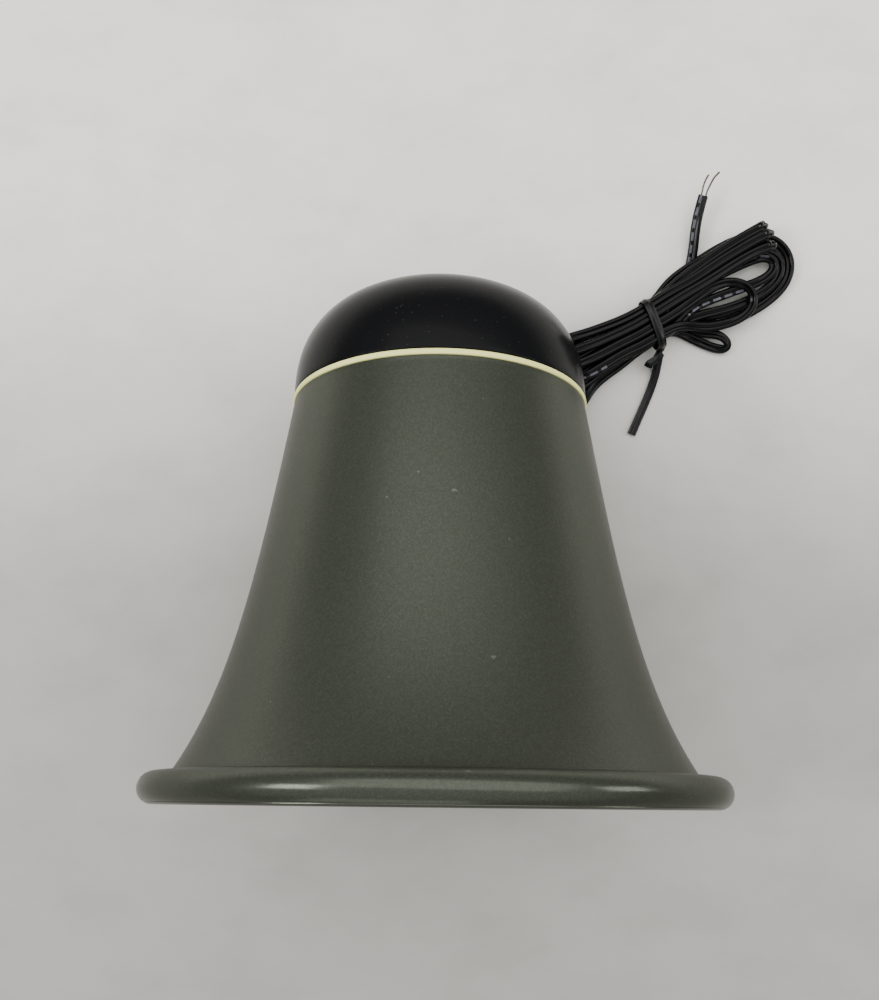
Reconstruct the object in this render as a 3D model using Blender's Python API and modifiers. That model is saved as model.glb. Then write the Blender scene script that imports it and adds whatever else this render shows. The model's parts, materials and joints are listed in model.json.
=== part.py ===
"""Horn siren for an intruder alarm, with its lead wound into a hank.

The horn lies on its side, resting on the bead of its mouth and on its domed rear cover.
+Z is up, +Y runs from the mouth to the cover, and the lead leaves on the +X side.
Turned pieces are drawn in the horn's own frame: its z is the distance w from the gasket's
mid-plane towards the mouth, and its y points up. Dimensions below are in millimetres.
"""

import math

import bmesh
import bpy
from mathutils import Matrix, Vector

MM = 0.001

# ---- driving dimensions (mm)
HORN_LENGTH = 106.94  # gasket mid-plane to the centre of the rim bead
RIM_RADIUS = 72.0  # circle on which the bead's centre lies
BEAD_RADIUS = 4.0
MOUTH_RADIUS = 69.0  # inner edge of the flat front of the rim
FRONT_FLAT_RADIUS = 73.5  # outer edge of that flat
THROAT_END_RADIUS = 56.9  # terms of the bell's flare
FLARE_SLOPE = 0.145
FLARE_RISE = 13.8
FLARE_DECAY = 24.3
BELL_WALL = 1.5
JOINT_GAP = 1.1  # bell and cover each stop this far from the gasket's mid-plane
FLANGE_THICK = 1.5
FLANGE_BORE = 24.5
COVER_RADIUS = 41.9
COVER_DEPTH = 31.8
COVER_START = 1.5
COVER_POWER_R = 2 / 2.96
COVER_POWER_W = 2 / 2.43
COVER_WALL = 2.0
GASKET_RADIUS = 42.2
GASKET_THICK = 1.6
COVER_SCREW_CIRCLE = 36.8
COVER_SCREW_ANGLES = (60, 180, 300)
DRIVER_SCREW_CIRCLE = 28.5
DRIVER_SCREW_ANGLES = (0, 120, 240)
POST_CIRCLE = 27.0
POST_ANGLES = (60, 180, 300)
CORD_RADIUS = 1.5
CORD_EXIT_ANGLE = -35.0  # round the horn's axis, from +X
CORD_EXIT_W = -10.0
OUTER_STEPS = 40
INNER_STEPS = 24
SMALL_STEPS = 12


# ---- scene
for old in list(bpy.data.objects):
    bpy.data.objects.remove(old, do_unlink=True)
for old in list(bpy.data.collections):
    bpy.data.collections.remove(old)

parts = bpy.data.collections.new("alarm_siren")
helpers = bpy.data.collections.new("cutters")
bpy.context.scene.collection.children.link(parts)
bpy.context.scene.collection.children.link(helpers)


def make_material(name, colour, roughness, metallic):
    """Colours are linear RGB."""
    material = bpy.data.materials.new(name)
    material.use_nodes = True
    shader = material.node_tree.nodes["Principled BSDF"]
    shader.inputs["Base Color"].default_value = (*colour, 1)
    shader.inputs["Roughness"].default_value = roughness
    shader.inputs["Metallic"].default_value = metallic
    material.diffuse_color = (*colour, 1)
    return material


OLIVE = make_material("olive_metallic", (0.085, 0.09, 0.07), 0.42, 0.6)
BLACK_GLOSS = make_material("black_gloss", (0.008, 0.008, 0.009), 0.15, 0.0)
CREAM = make_material("cream_rubber", (0.68, 0.66, 0.45), 0.6, 0.0)
PVC = make_material("black_pvc", (0.01, 0.01, 0.011), 0.35, 0.0)
TIE_PVC = make_material("tie_pvc", (0.014, 0.014, 0.015), 0.4, 0.0)
COPPER = make_material("tinned_copper", (0.42, 0.33, 0.26), 0.35, 1.0)
GREY_PLASTIC = make_material("grey_plastic", (0.09, 0.09, 0.085), 0.5, 0.0)
BLACK_RUBBER = make_material("black_rubber", (0.015, 0.015, 0.015), 0.7, 0.0)
ZINC = make_material("zinc_plate", (0.55, 0.56, 0.58), 0.3, 1.0)
FERRITE = make_material("ferrite", (0.03, 0.03, 0.032), 0.6, 0.0)
PHENOLIC = make_material("phenolic", (0.16, 0.05, 0.02), 0.5, 0.0)
COIL_WIRE = make_material("coil_wire", (0.55, 0.2, 0.08), 0.35, 1.0)
BOARD_GREEN = make_material("board_green", (0.02, 0.12, 0.04), 0.4, 0.0)
CHIP_EPOXY = make_material("chip_epoxy", (0.02, 0.02, 0.021), 0.5, 0.0)
CAN_SLEEVE = make_material("can_sleeve", (0.02, 0.03, 0.12), 0.35, 0.0)
TAN_CERAMIC = make_material("tan_ceramic", (0.5, 0.33, 0.18), 0.5, 0.0)
TERMINAL_GREEN = make_material("terminal_green", (0.03, 0.3, 0.1), 0.4, 0.0)
RED_PVC = make_material("red_pvc", (0.5, 0.02, 0.015), 0.4, 0.0)


def add(name, mesh, material=None, parent=None, home=parts):
    thing = bpy.data.objects.new(name, mesh)
    home.objects.link(thing)
    if material and not mesh.materials:
        mesh.materials.append(material)
    thing.parent = parent
    if home is helpers:
        thing.hide_render = True
        thing.display_type = "WIRE"
    return thing


def turned(name, profile, material, steps, parent=None, ring=False, home=parts):
    """A solid of revolution about the parent's z axis. The profile is (radius, height) in mm
    and runs down the outer side; ring closes it for a piece with a bore."""
    mesh = bpy.data.meshes.new(name)
    points = [(r * MM, 0, h * MM) for r, h in profile]
    edges = [(i, i + 1) for i in range(len(points) - 1)]
    if ring:
        edges.append((len(points) - 1, 0))
    mesh.from_pydata(points, edges, [])
    thing = add(name, mesh, material, parent, home)
    screw = thing.modifiers.new("turn", "SCREW")
    screw.axis = "Z"
    screw.steps = screw.render_steps = steps
    screw.use_merge_vertices = True
    screw.merge_threshold = 0.00001
    screw.use_smooth_shade = True
    return thing


def block(name, size, at, material=None, parent=None, bevel=0.0, home=parts, turn=0.0):
    """A box of size (mm), centred at a point of the parent's frame, turned about its z."""
    mesh = bpy.data.meshes.new(name)
    shape = bmesh.new()
    bmesh.ops.create_cube(shape, size=1)
    bmesh.ops.scale(shape, vec=[s * MM for s in size], verts=shape.verts)
    shape.to_mesh(mesh)
    shape.free()
    thing = add(name, mesh, material, parent, home)
    thing.location = [c * MM for c in at]
    thing.rotation_euler = (0, 0, math.radians(turn))
    if bevel:
        edge = thing.modifiers.new("edge", "BEVEL")
        edge.width = bevel * MM
        edge.segments = 1
        edge.limit_method = "ANGLE"
    return thing


def rod(name, radius, length, at, material=None, parent=None, steps=SMALL_STEPS, home=parts):
    """A cylinder along the parent's z, centred at a point in mm."""
    mesh = bpy.data.meshes.new(name)
    shape = bmesh.new()
    bmesh.ops.create_cone(
        shape, cap_ends=True, segments=steps, radius1=radius * MM, radius2=radius * MM, depth=length * MM
    )
    shape.to_mesh(mesh)
    shape.free()
    thing = add(name, mesh, material, parent, home)
    thing.location = [c * MM for c in at]
    return thing


def boolean(thing, other, operation):
    change = thing.modifiers.new(other.name, "BOOLEAN")
    change.operation = operation
    change.solver = "EXACT"
    change.object = other
    other.hide_render = True
    other.display_type = "WIRE"


def cut(thing, other):
    boolean(thing, other, "DIFFERENCE")


def join(thing, other):
    boolean(thing, other, "UNION")


def round_at(circle, degrees, w):
    """A point at this radius and angle round the horn's axis, in mm."""
    a = math.radians(degrees)
    return (circle * math.cos(a), circle * math.sin(a), w)


def smooth_route(points, step):
    """Points a step apart along a Catmull-Rom curve through the given points."""
    ends = [points[0] * 2 - points[1], *points, points[-1] * 2 - points[-2]]
    dense = []
    for i in range(1, len(ends) - 2):
        a, b, c, d = ends[i - 1 : i + 3]
        for k in range(20):
            t = k / 20
            dense.append(
                0.5 * (2 * b + (c - a) * t + (2 * a - 5 * b + 4 * c - d) * t * t + (3 * b - a - 3 * c + d) * t**3)
            )
    dense.append(points[-1].copy())
    total = sum((q - p).length for p, q in zip(dense, dense[1:]))
    count = max(2, round(total / step))
    route, run, target = [dense[0]], 0.0, total / count
    for p, q in zip(dense, dense[1:]):
        length = (q - p).length
        while length and run + length >= target and len(route) < count:
            route.append(p.lerp(q, (target - run) / length))
            target += total / count
        run += length
    route.append(dense[-1])
    return route


def tube(name, points, radius, material, step, sides=2, home=parts, flat=0.0):
    """A wire or cord along a smooth route through points, in metres."""
    data = bpy.data.curves.new(name, "CURVE")
    data.dimensions = "3D"
    data.bevel_depth = radius * MM
    data.bevel_resolution = sides
    data.use_fill_caps = True
    data.extrude = flat * MM
    data.twist_mode = "Z_UP" if flat else "MINIMUM"
    route = smooth_route(points, step * MM)
    spline = data.splines.new("POLY")
    spline.points.add(len(route) - 1)
    for at, p in zip(spline.points, route):
        at.co = (*p, 1)
        at.tilt = math.radians(90) if flat else 0.0
    data.materials.append(material)
    thing = bpy.data.objects.new(name, data)
    home.objects.link(thing)
    if home is helpers:
        thing.hide_render = True
        thing.display_type = "WIRE"
    return thing


def as_mesh(thing):
    """The evaluated object as a plain mesh object of the same name and place."""
    bpy.context.view_layer.update()
    graph = bpy.context.evaluated_depsgraph_get()
    name, home = thing.name, thing.users_collection[0]
    mesh = bpy.data.meshes.new_from_object(thing.evaluated_get(graph))
    shape = bmesh.new()
    shape.from_mesh(mesh)
    bmesh.ops.remove_doubles(shape, verts=shape.verts, dist=1e-6)
    bmesh.ops.recalc_face_normals(shape, faces=shape.faces)
    shape.to_mesh(mesh)
    shape.free()
    place = thing.matrix_world.copy()
    bpy.data.objects.remove(thing, do_unlink=True)
    made = bpy.data.objects.new(name, mesh)
    home.objects.link(made)
    made.matrix_world = place
    if home is helpers:
        made.hide_render = True
        made.display_type = "WIRE"
    return made


# ---- outlines of the bell and the cover
def bell_radius(w):
    """Outer radius of the bell at a distance w from the gasket."""
    u = HORN_LENGTH - w
    return THROAT_END_RADIUS - FLARE_SLOPE * u + FLARE_RISE * math.exp(-u / FLARE_DECAY)


def cover_point(t, radius, depth):
    """Superellipse quarter: t is 0 at the joint and a right angle at the crown."""
    return (
        radius * max(math.cos(t), 0.0) ** COVER_POWER_R,
        -COVER_START - depth * math.sin(t) ** COVER_POWER_W,
    )


def cover_curve(radius, depth, count):
    """Points evenly spaced along the quarter, from the joint to the crown."""
    fine = [cover_point(math.pi / 2 * i / 600, radius, depth) for i in range(600)] + [(0.0, -COVER_START - depth)]
    lengths = [0.0]
    for p, q in zip(fine, fine[1:]):
        lengths.append(lengths[-1] + math.dist(p, q))
    chosen = []
    for k in range(count + 1):
        target = lengths[-1] * k / count
        i = next(j for j, run in enumerate(lengths) if run >= target - 1e-9)
        chosen.append(fine[i])
    return chosen


def resting_pose():
    """Tilt of the axis, and the height of its point at the bead, for the horn lying on bead and cover."""
    bead = [
        (BEAD_RADIUS * math.cos(a), RIM_RADIUS + BEAD_RADIUS * math.sin(a))
        for a in (math.tau * i / 72 for i in range(72))
    ]
    cover = [(HORN_LENGTH - w, r) for r, w in cover_curve(COVER_RADIUS, COVER_DEPTH, 200)]
    low, high = 0.05, 0.6
    for _ in range(60):
        tilt = (low + high) / 2

        def drop(outline):
            return max(u * math.sin(tilt) + r * math.cos(tilt) for u, r in outline)

        low, high = (tilt, high) if drop(bead) > drop(cover) else (low, tilt)
    sides = [u * math.cos(tilt) + s * r * math.sin(tilt) for u, r in bead + cover for s in (-1, 1)]
    return tilt, drop(bead), -(min(sides) + max(sides)) / 2


TILT, BEAD_HEIGHT, BEAD_Y = resting_pose()

horn_frame = Matrix.Translation(
    Vector(
        (
            0,
            (BEAD_Y + HORN_LENGTH * math.cos(TILT)) * MM,
            (BEAD_HEIGHT - HORN_LENGTH * math.sin(TILT)) * MM,
        )
    )
) @ Matrix.Rotation(math.pi / 2 - TILT, 4, "X")

axis = bpy.data.objects.new("horn_axis", None)
parts.objects.link(axis)
axis.matrix_world = horn_frame

# A flat facet of the round pieces faces the ground, so the turned shapes are half a step round.
half_step = bpy.data.objects.new("horn_axis_half_step", None)
parts.objects.link(half_step)
half_step.parent = axis
half_step.rotation_euler = (0, 0, math.pi / OUTER_STEPS)


# ---- bell
front = HORN_LENGTH + BEAD_RADIUS
bell = [(MOUTH_RADIUS + 0.5, front), (FRONT_FLAT_RADIUS, front)]
join_angle = 139.5
bead_angles = [-45, -15, 10, 35, 62, 90, join_angle]
for degrees in bead_angles:
    a = math.radians(degrees)
    bell.append((RIM_RADIUS + BEAD_RADIUS * math.cos(a), HORN_LENGTH - BEAD_RADIUS * math.sin(a)))
for w in (98.5, 91.5, 82.0, 69.0, 50.0, 26.0):
    bell.append((bell_radius(w), w))
bell += [(bell_radius(1.5), 1.6), (bell_radius(1.1) - 0.4, JOINT_GAP), (FLANGE_BORE, JOINT_GAP)]
bell += [(FLANGE_BORE, JOINT_GAP + FLANGE_THICK), (bell_radius(3) - BELL_WALL - 0.5, JOINT_GAP + FLANGE_THICK)]
for w in (4.0, 28.0, 52.0, 71.0, 84.0, 93.0, 100.0):
    bell.append((bell_radius(w) - BELL_WALL * (1 + 0.12 * math.exp(-(HORN_LENGTH - w) / FLARE_DECAY)), w))
bell += [(67.6, 105.5), (MOUTH_RADIUS, front - 0.5)]
horn_bell = turned("horn_bell", bell, OLIVE, OUTER_STEPS, half_step, ring=True)

# ---- gasket and cover
g = GASKET_THICK / 2
cap_gasket = turned(
    "cap_gasket",
    [(32.3, g), (GASKET_RADIUS - 0.25, g), (GASKET_RADIUS, g - 0.25), (GASKET_RADIUS, 0.25 - g), (GASKET_RADIUS - 0.25, -g), (32.3, -g)],
    CREAM,
    OUTER_STEPS,
    half_step,
    ring=True,
)

outside = cover_curve(COVER_RADIUS, COVER_DEPTH, 9)
inside = cover_curve(COVER_RADIUS - COVER_WALL, COVER_DEPTH - COVER_WALL, 6)
shell = inside[::-1] + [
    (COVER_RADIUS - COVER_WALL, -JOINT_GAP),
    (COVER_RADIUS - 0.35, -JOINT_GAP),
] + outside
rear_cover = turned("rear_cover", shell, BLACK_GLOSS, OUTER_STEPS, half_step)

for n, angle in enumerate(COVER_SCREW_ANGLES, 1):
    boss = rod(f"cover_boss_{n}", 3.2, 11.0, round_at(COVER_SCREW_CIRCLE, angle, -JOINT_GAP - 0.4 - 5.5), parent=axis, home=helpers)
    join(rear_cover, boss)
for n, angle in enumerate(COVER_SCREW_ANGLES, 1):
    pilot = rod(f"cover_pilot_{n}", 1.5, 12.0, round_at(COVER_SCREW_CIRCLE, angle, -4.5), parent=axis, home=helpers)
    cut(rear_cover, pilot)
    through = rod(f"cover_hole_{n}", 1.8, 8.0, round_at(COVER_SCREW_CIRCLE, angle, 1.0), parent=axis, home=helpers)
    cut(horn_bell, through)
    cut(cap_gasket, through)


def screw_mesh(name, head_radius, head_height, shank_radius, length):
    """A pan-head machine screw along z, its head's underside at 0, with a cross recess."""
    profile = [
        (0, head_height),
        (head_radius * 0.8, head_height),
        (head_radius, head_height * 0.5),
        (head_radius, 0),
        (shank_radius, 0),
        (shank_radius, -length),
        (0, -length),
    ]
    body = turned(f"{name}_blank", profile, ZINC, 10, home=helpers)
    for turn in (0, 90):
        slot = block(f"{name}_slot_{turn}", (head_radius * 1.1, 0.5, 1.6), (0, 0, head_height), home=helpers, turn=turn)
        cut(body, slot)
    body = as_mesh(body)
    body.data.polygons.foreach_set("use_smooth", [False] * len(body.data.polygons))
    return body.data


cover_screw = screw_mesh("cover_screw", 2.5, 2.0, 1.2, 11.6)
driver_screw = screw_mesh("driver_screw", 2.7, 2.0, 1.2, 13.2)
board_screw = screw_mesh("board_screw", 2.3, 1.5, 1.05, 7.5)
reflector_screw = screw_mesh("reflector_screw", 2.7, 2.0, 1.2, 12.6)


def fasten(name, mesh, at, flip=False):
    thing = add(name, mesh, parent=axis)
    thing.location = [c * MM for c in at]
    if flip:
        thing.rotation_euler = (math.pi, 0, 0)
    return thing


for n, angle in enumerate(COVER_SCREW_ANGLES, 1):
    fasten(f"cover_screw_{n}", cover_screw, round_at(COVER_SCREW_CIRCLE, angle, 2.9))

# ---- folded horn: throat tube, reflector and its bracket
throat = [(13.0, 70.0), (14.6, 70.0), (13.0, 60.0), (10.7, 43.0), (9.2, 8.5), (12.0, 5.1), (32.0, 5.1), (32.0, 2.9), (7.0, 2.9), (7.4, 22.0), (9.0, 43.0), (11.2, 60.0)]
throat_tube = turned("throat_tube", throat, GREY_PLASTIC, INNER_STEPS, axis, ring=True)
reflector_profile = [
    (1.7, 84.0), (3.6, 84.0), (3.6, 89.6), (8.0, 89.0), (14.0, 86.9), (19.4, 83.4), (23.8, 78.6), (26.8, 72.4), (28.8, 64.0),
    (32.2, 44.0), (36.2, 22.0), (34.7, 22.0), (30.7, 44.0), (27.3, 64.0), (25.3, 71.0),
    (21.0, 76.6), (15.0, 78.6), (8.0, 77.2), (4.6, 76.3), (1.7, 76.3),
]
reflector = turned("reflector", reflector_profile, OLIVE, INNER_STEPS, axis, ring=True)
collar = [(14.95, 73.4), (16.9, 73.4), (16.9, 62.0), (14.95, 62.0)]
reflector_bracket = turned("reflector_bracket", collar, GREY_PLASTIC, INNER_STEPS, axis, ring=True)
for n, angle in enumerate((90, 210, 330), 1):
    arm = block(f"bracket_arm_{n}", (15.2, 2.4, 2.8), round_at(8.4, angle, 71.8), parent=axis, home=helpers, turn=angle)
    join(reflector_bracket, arm)
join(reflector_bracket, rod("bracket_hub", 4.0, 5.6, (0, 0, 73.2), parent=axis, home=helpers))
cut(reflector_bracket, rod("bracket_thread", 1.5, 14.0, (0, 0, 73.2), parent=axis, home=helpers))
fasten("reflector_screw", reflector_screw, (0, 0, 84.3))

# ---- compression driver
front_plate = turned(
    "driver_front_plate",
    [(7.0, 0.8), (31.5, 0.8), (31.5, -2.3), (15.0, -2.3), (9.0, -1.6), (7.0, -1.6)],
    GREY_PLASTIC,
    INNER_STEPS,
    axis,
    ring=True,
)
phase_plug = turned("phase_plug", [(0, 7.5), (1.6, 5.0), (2.7, 2.0), (3.2, -0.4), (2.7, -1.3), (0, -1.5)], BLACK_RUBBER, 12, axis)
plug_ring = turned("plug_ring", [(5.6, 0.6), (6.65, 0.6), (6.65, -1.1), (5.6, -1.1)], None, 20, axis, ring=True, home=helpers)
join(phase_plug, plug_ring)
for n, angle in enumerate((90, 210, 330), 1):
    join(phase_plug, block(f"plug_spoke_{n}", (4.2, 1.0, 1.2), round_at(4.2, angle, -0.25), parent=axis, home=helpers, turn=angle))
diaphragm = turned(
    "diaphragm",
    [(0, -2.9), (7.0, -3.2), (12.6, -3.85), (15.3, -3.35), (17.5, -3.85), (17.5, -4.2), (15.3, -3.75), (12.6, -4.25), (7.0, -3.6), (0, -3.25)],
    PHENOLIC,
    INNER_STEPS,
    axis,
)
voice_coil = turned("voice_coil", [(12.3, -4.6), (12.9, -4.6), (12.9, -9.6), (12.3, -9.6)], COIL_WIRE, INNER_STEPS, axis, ring=True)
diaphragm_ring = turned("diaphragm_ring", [(18.1, -2.6), (31.0, -2.6), (31.0, -4.6), (18.1, -4.6)], BLACK_RUBBER, INNER_STEPS, axis, ring=True)
top_plate = turned("top_plate", [(13.8, -4.9), (31.0, -4.9), (31.0, -8.9), (13.8, -8.9)], ZINC, INNER_STEPS, axis, ring=True)
turned("magnet", [(15.0, -9.2), (23.5, -9.2), (24.0, -9.7), (24.0, -15.7), (23.5, -16.2), (15.0, -16.2)], FERRITE, INNER_STEPS, axis, ring=True)
turned("yoke", [(0, -5.2), (11.1, -5.2), (11.6, -5.7), (11.6, -16.5), (23.5, -16.5), (23.5, -19.0), (23.0, -19.5), (0, -19.5)], ZINC, INNER_STEPS, axis)
for n, angle in enumerate(DRIVER_SCREW_ANGLES, 1):
    through = rod(f"driver_hole_{n}", 1.6, 30.0, round_at(DRIVER_SCREW_CIRCLE, angle, 0), parent=axis, home=helpers)
    for plate in (throat_tube, horn_bell, front_plate, diaphragm_ring, top_plate):
        cut(plate, through)
    fasten(f"driver_screw_{n}", driver_screw, round_at(DRIVER_SCREW_CIRCLE, angle, 5.4))
terminal = block("driver_terminal", (3.2, 8.0, 4.2), round_at(28.2, 30, -11.3), PHENOLIC, axis, bevel=0.3, turn=30)

# ---- siren board on three posts behind the driver
post_profile = [(0, -6.2), (1.1, -6.2), (1.1, -9.2), (2.3, -9.2), (2.3, -21.3), (1.4, -21.3), (1.4, -14.5), (0, -14.5)]
siren_board = rod("siren_board", 31.0, 1.6, (0, 0, -22.4), BOARD_GREEN, axis, steps=32)
for n, angle in enumerate(POST_ANGLES, 1):
    post = turned(f"board_post_{n}", post_profile, ZINC, SMALL_STEPS, axis)
    post.location = [c * MM for c in round_at(POST_CIRCLE, angle, 0)]
    cut(top_plate, rod(f"post_hole_{n}", 1.45, 12.0, round_at(POST_CIRCLE, angle, -7.0), parent=axis, home=helpers))
    cut(siren_board, rod(f"board_hole_{n}", 1.4, 6.0, round_at(POST_CIRCLE, angle, -22.4), parent=axis, home=helpers))
    fasten(f"board_screw_{n}", board_screw, round_at(POST_CIRCLE, angle, -23.5), flip=True)

chip_at = (0.0, 9.0)
siren_chip = block("siren_chip", (19.0, 6.4, 2.9), (*chip_at, -25.35), CHIP_EPOXY, axis, bevel=0.25)
pins = block("chip_pins", (0.6, 8.2, 1.9), (chip_at[0] - 7.62, chip_at[1], -24.6), parent=axis, home=helpers)
row = pins.modifiers.new("row", "ARRAY")
row.count = 7
row.use_relative_offset = False
row.use_constant_offset = True
row.constant_offset_displace = (2.54 * MM, 0, 0)
join(siren_chip, pins)
for n, x in enumerate((-8.5, 3.5), 1):
    power = block(f"output_transistor_{n}", (10.0, 9.0, 4.2), (x, -4.0, -25.65), CHIP_EPOXY, axis, bevel=0.3)
    tab = block(f"transistor_tab_{n}", (10.0, 7.0, 1.3), (x, -11.2, -24.25), parent=axis, home=helpers)
    join(power, tab)
    cut(power, rod(f"tab_hole_{n}", 1.9, 6.0, (x, -11.8, -24.25), parent=axis, home=helpers))


def lying(name, radius, length, at, material, turn):
    """A round component lying on the board."""
    e = min(0.5, radius * 0.3)
    profile = [(0, length / 2), (radius - e, length / 2), (radius, length / 2 - e), (radius, e - length / 2), (radius - e, -length / 2), (0, -length / 2)]
    thing = turned(name, profile, material, 14, axis)
    thing.location = [c * MM for c in at]
    thing.rotation_euler = (math.pi / 2, 0, math.radians(turn))
    return thing


lying("supply_capacitor", 2.9, 11.0, (14.5, -5.5, -26.45), CAN_SLEEVE, 0)
lying("timing_capacitor", 2.4, 7.0, (-17.5, 6.0, -25.95), CAN_SLEEVE, 20)
lying("resistor_1", 1.15, 6.3, (-9.5, 16.5, -24.7), TAN_CERAMIC, 90)
lying("resistor_2", 1.15, 6.3, (-17.5, -4.5, -24.7), TAN_CERAMIC, 0)
lying("supply_diode", 1.3, 5.2, (15.5, 8.5, -24.85), CHIP_EPOXY, 0)
cord_terminal = block("cord_terminal", (5.4, 8.4, 5.6), round_at(27.9, CORD_EXIT_ANGLE, -18.5), TERMINAL_GREEN, axis, bevel=0.3, turn=CORD_EXIT_ANGLE)


def in_horn(circle, degrees, w, side=0.0):
    """World point, in metres, at this radius, angle and w, moved sideways by side mm."""
    a = math.radians(degrees)
    x, y, _ = round_at(circle, degrees, w)
    return horn_frame @ Vector(((x - side * math.sin(a)) * MM, (y + side * math.cos(a)) * MM, w * MM))


for n, (side, colour) in enumerate(((-1.9, RED_PVC), (1.9, PVC)), 1):
    route = [in_horn(28.2, 30, -13.7, side), in_horn(28.4, 30, -15.6, side), in_horn(29.2, 29, -18.4, side), in_horn(29.0, 29, -21.25, side)]
    tube(f"speaker_lead_{n}", route, 0.6, colour, 1.6)

# ---- cord exit: the cover's outside surface, and its normal there
def cover_outside(w):
    low, high = 0.0, math.pi / 2
    for _ in range(50):
        t = (low + high) / 2
        low, high = (t, high) if cover_point(t, COVER_RADIUS, COVER_DEPTH)[1] > w else (low, t)
    return cover_point(low, COVER_RADIUS, COVER_DEPTH)[0]


exit_radius = cover_outside(CORD_EXIT_W)
lean = math.atan2(cover_outside(CORD_EXIT_W + 1) - cover_outside(CORD_EXIT_W - 1), 2)
a = math.radians(CORD_EXIT_ANGLE)
outward = Vector((math.cos(a) * math.cos(lean), math.sin(a) * math.cos(lean), -math.sin(lean)))
cord_frame = horn_frame @ Matrix.Translation(Vector(round_at(exit_radius, CORD_EXIT_ANGLE, CORD_EXIT_W)) * MM) @ outward.to_track_quat("Z", "Y").to_matrix().to_4x4()
cord_axis = bpy.data.objects.new("cord_axis", None)
parts.objects.link(cord_axis)
cord_axis.matrix_world = cord_frame

cut(rear_cover, rod("cord_hole", 3.6, 14.0, (0, 0, 0), parent=cord_axis, steps=16, home=helpers))
turned(
    "cord_grommet",
    [(1.95, 5.2), (2.9, 5.2), (3.5, 2.4), (5.3, 1.9), (5.4, 0.75), (3.2, 0.75), (3.2, -3.2), (4.6, -3.35), (4.3, -4.4), (1.95, -4.4)],
    BLACK_RUBBER,
    18,
    cord_axis,
    ring=True,
)


def along_exit(distance, side=0.0):
    return cord_frame @ Vector((side * MM, 0, distance * MM))


# ---- hank: a bundle of loops, narrow where the tie holds it, 0.3 mm off everything beside it
HANK_LOW, HANK_HIGH = 1.3, 9.6
NEAR_END = Vector((46.0, 63.5, 0))
TIE_AT = Vector((68.3, 77.0, 0))
FAR_END = Vector((98.8, 93.2, 0))
stations = [(NEAR_END, 10.8), (Vector((56.5, 69.8, 0)), 9.0), (TIE_AT, 7.3), (Vector((82.0, 85.5, 0)), 11.5), (FAR_END, 14.2)]


def outline():
    """Closed outline of the hank, in mm: offsets from its centre line, and a round at each end."""
    left, right = [], []
    for i, (centre, half) in enumerate(stations):
        ahead = (stations[min(i + 1, 4)][0] - stations[max(i - 1, 0)][0]).normalized()
        side = Vector((-ahead.y, ahead.x, 0))
        left.append(centre + side * half)
        right.append(centre - side * half)
    points = []
    for i, (centre, half) in ((4, stations[4]), (0, stations[0])):
        start = (right if i else left)[i] - centre
        for k in range(9):
            points.append(centre + Matrix.Rotation(math.pi * k / 8, 3, "Z") @ start)
        if i:
            points += left[3:0:-1]
    return points + right[1:4]


data = bpy.data.curves.new("cord_hank", "CURVE")
data.dimensions = "2D"
data.fill_mode = "BOTH"
data.extrude = (HANK_HIGH - HANK_LOW) / 2 * MM
spline = data.splines.new("POLY")
ring_points = outline()
spline.points.add(len(ring_points) - 1)
for at, p in zip(spline.points, ring_points):
    at.co = (p.x * MM, p.y * MM, 0, 1)
spline.use_cyclic_u = True
data.materials.append(PVC)
hank = bpy.data.objects.new("cord_hank", data)
parts.objects.link(hank)
hank.location.z = (HANK_HIGH + HANK_LOW) / 2 * MM
as_mesh(hank)

# ---- cord between the cover and the hank, and inside the cover
meet = NEAR_END + Matrix.Rotation(math.radians(-66), 3, "Z") @ Vector((10.8 + 0.8, 0, 0))
lead = [along_exit(-5.4), along_exit(-2.0), along_exit(1.5), along_exit(5.0), along_exit(8.0)]
lead += [Vector((45.4, 48.0, 9.6)) * MM, Vector((49.0, 49.6, 6.4)) * MM, Vector((meet.x, meet.y, 4.9)) * MM]
tube("cord_lead", lead, CORD_RADIUS, PVC, 3.4)
for n, side in enumerate((-1.0, 1.0), 1):
    inner = [along_exit(-5.8, side * 0.75), along_exit(-7.3, side), in_horn(31.5, CORD_EXIT_ANGLE, -11.4, side * 1.4), in_horn(28.4, CORD_EXIT_ANGLE, -13.2, side * 1.9), in_horn(27.9, CORD_EXIT_ANGLE, -15.4, side * 1.9)]
    tube(f"inner_lead_{n}", inner, 0.6, PVC, 1.7)

# ---- free end with its two bared conductors
tail_root = Vector((81.2, 101.2, 4.4)) * MM
tail = [tail_root, Vector((81.3, 104.6, 4.6)) * MM, Vector((82.4, 110.5, 5.2)) * MM, Vector((83.8, 116.0, 5.8)) * MM, Vector((84.6, 118.6, 6.0)) * MM]
tube("cord_tail", tail, CORD_RADIUS, PVC, 3.4)
for n, (base, middle, tip) in enumerate((((84.2, 119.2), (84.8, 122.3), (86.3, 125.3)), ((85.8, 119.0), (87.4, 122.2), (89.7, 126.1))), 1):
    tube(f"bare_wire_{n}", [Vector((*p, 6.0 + 0.4 * i)) * MM for i, p in enumerate((base, middle, tip))], 0.35, COPPER, 1.2)

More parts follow.
